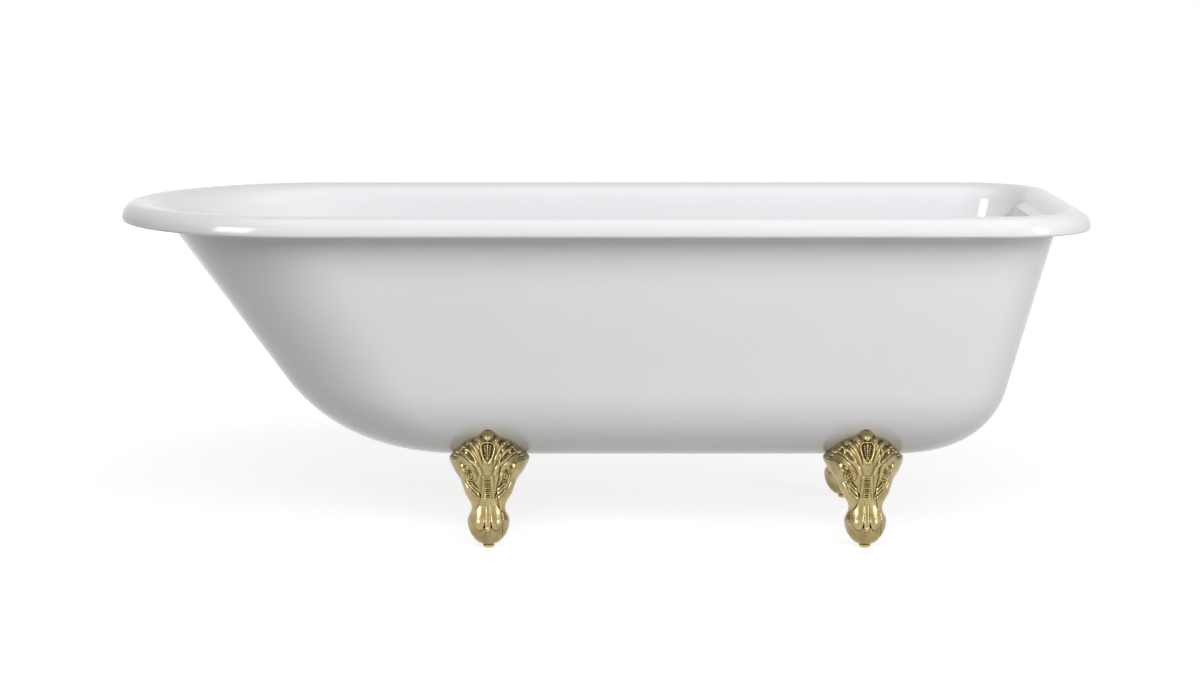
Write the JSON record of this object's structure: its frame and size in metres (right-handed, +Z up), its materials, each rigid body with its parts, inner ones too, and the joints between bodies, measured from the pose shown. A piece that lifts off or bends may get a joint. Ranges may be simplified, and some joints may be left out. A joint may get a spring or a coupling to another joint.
{
  "type": "clawfoot bathtub",
  "caption": "Roll-top cast bath with one sloping round end and one upright end, standing on ball-and-claw feet with levelling glides.",
  "frame": {"origin": "on the floor, at the middle of the bath's length and width", "axes": "+X from the round sloping head end to the upright tap end, +Y to the bath's far long side, +Z up"},
  "size_m": [1.829, 0.762, 0.635],
  "materials": {
    "enamel": "glossy white porcelain enamel, smooth",
    "foot_brass": "polished cast brass with darker hollows",
    "glide_brass": "turned brass",
    "fixing_steel": "zinc plated"
  },
  "bodies": {
    "bath": {"tub_shell": "enamel", "foot_head_front": "foot_brass", "foot_head_back": "foot_brass", "foot_tap_front": "foot_brass", "foot_tap_back": "foot_brass", "foot_stud_head_front": "fixing_steel", "foot_washer_head_front": "fixing_steel", "foot_nut_head_front": "fixing_steel", "foot_stud_head_back": "fixing_steel", "foot_washer_head_back": "fixing_steel", "foot_nut_head_back": "fixing_steel", "foot_stud_tap_front": "fixing_steel", "foot_washer_tap_front": "fixing_steel", "foot_nut_tap_front": "fixing_steel", "foot_stud_tap_back": "fixing_steel", "foot_washer_tap_back": "fixing_steel", "foot_nut_tap_back": "fixing_steel"},
    "glide_head_front": {"glide_pad_head_front": "glide_brass"},
    "screw_head_front": {"levelling_screw_head_front": "glide_brass"},
    "glide_head_back": {"glide_pad_head_back": "glide_brass"},
    "screw_head_back": {"levelling_screw_head_back": "glide_brass"},
    "glide_tap_front": {"glide_pad_tap_front": "glide_brass"},
    "screw_tap_front": {"levelling_screw_tap_front": "glide_brass"},
    "glide_tap_back": {"glide_pad_tap_back": "glide_brass"},
    "screw_tap_back": {"levelling_screw_tap_back": "glide_brass"}
  },
  "joints": [
    {"name": "glide_travel_head_front", "type": "slide", "parent": "bath", "child": "glide_head_front", "axis": [0, 0, 1], "range_m": [-0.015, 0]},
    {"name": "screw_turn_head_front", "type": "hinge", "parent": "glide_head_front", "child": "screw_head_front", "pos_m": [-0.205, -0.232, 0], "axis": [0, 0, 1], "range_deg": [-3600, 0]},
    {"name": "glide_travel_head_back", "type": "slide", "parent": "bath", "child": "glide_head_back", "axis": [0, 0, 1], "range_m": [-0.015, 0]},
    {"name": "screw_turn_head_back", "type": "hinge", "parent": "glide_head_back", "child": "screw_head_back", "pos_m": [-0.205, 0.232, 0], "axis": [0, 0, 1], "range_deg": [-3600, 0]},
    {"name": "glide_travel_tap_front", "type": "slide", "parent": "bath", "child": "glide_tap_front", "axis": [0, 0, 1], "range_m": [-0.015, 0]},
    {"name": "screw_turn_tap_front", "type": "hinge", "parent": "glide_tap_front", "child": "screw_tap_front", "pos_m": [0.502, -0.232, 0], "axis": [0, 0, 1], "range_deg": [-3600, 0]},
    {"name": "glide_travel_tap_back", "type": "slide", "parent": "bath", "child": "glide_tap_back", "axis": [0, 0, 1], "range_m": [-0.015, 0]},
    {"name": "screw_turn_tap_back", "type": "hinge", "parent": "glide_tap_back", "child": "screw_tap_back", "pos_m": [0.502, 0.232, 0], "axis": [0, 0, 1], "range_deg": [-3600, 0]}
  ],
  "couplings": [
    {"joint": "screw_turn_head_front", "follows": "glide_travel_head_front", "rad_per_m": 4188.8},
    {"joint": "screw_turn_head_back", "follows": "glide_travel_head_back", "rad_per_m": 4188.8},
    {"joint": "screw_turn_tap_front", "follows": "glide_travel_tap_front", "rad_per_m": 4188.8},
    {"joint": "screw_turn_tap_back", "follows": "glide_travel_tap_back", "rad_per_m": 4188.8}
  ]
}
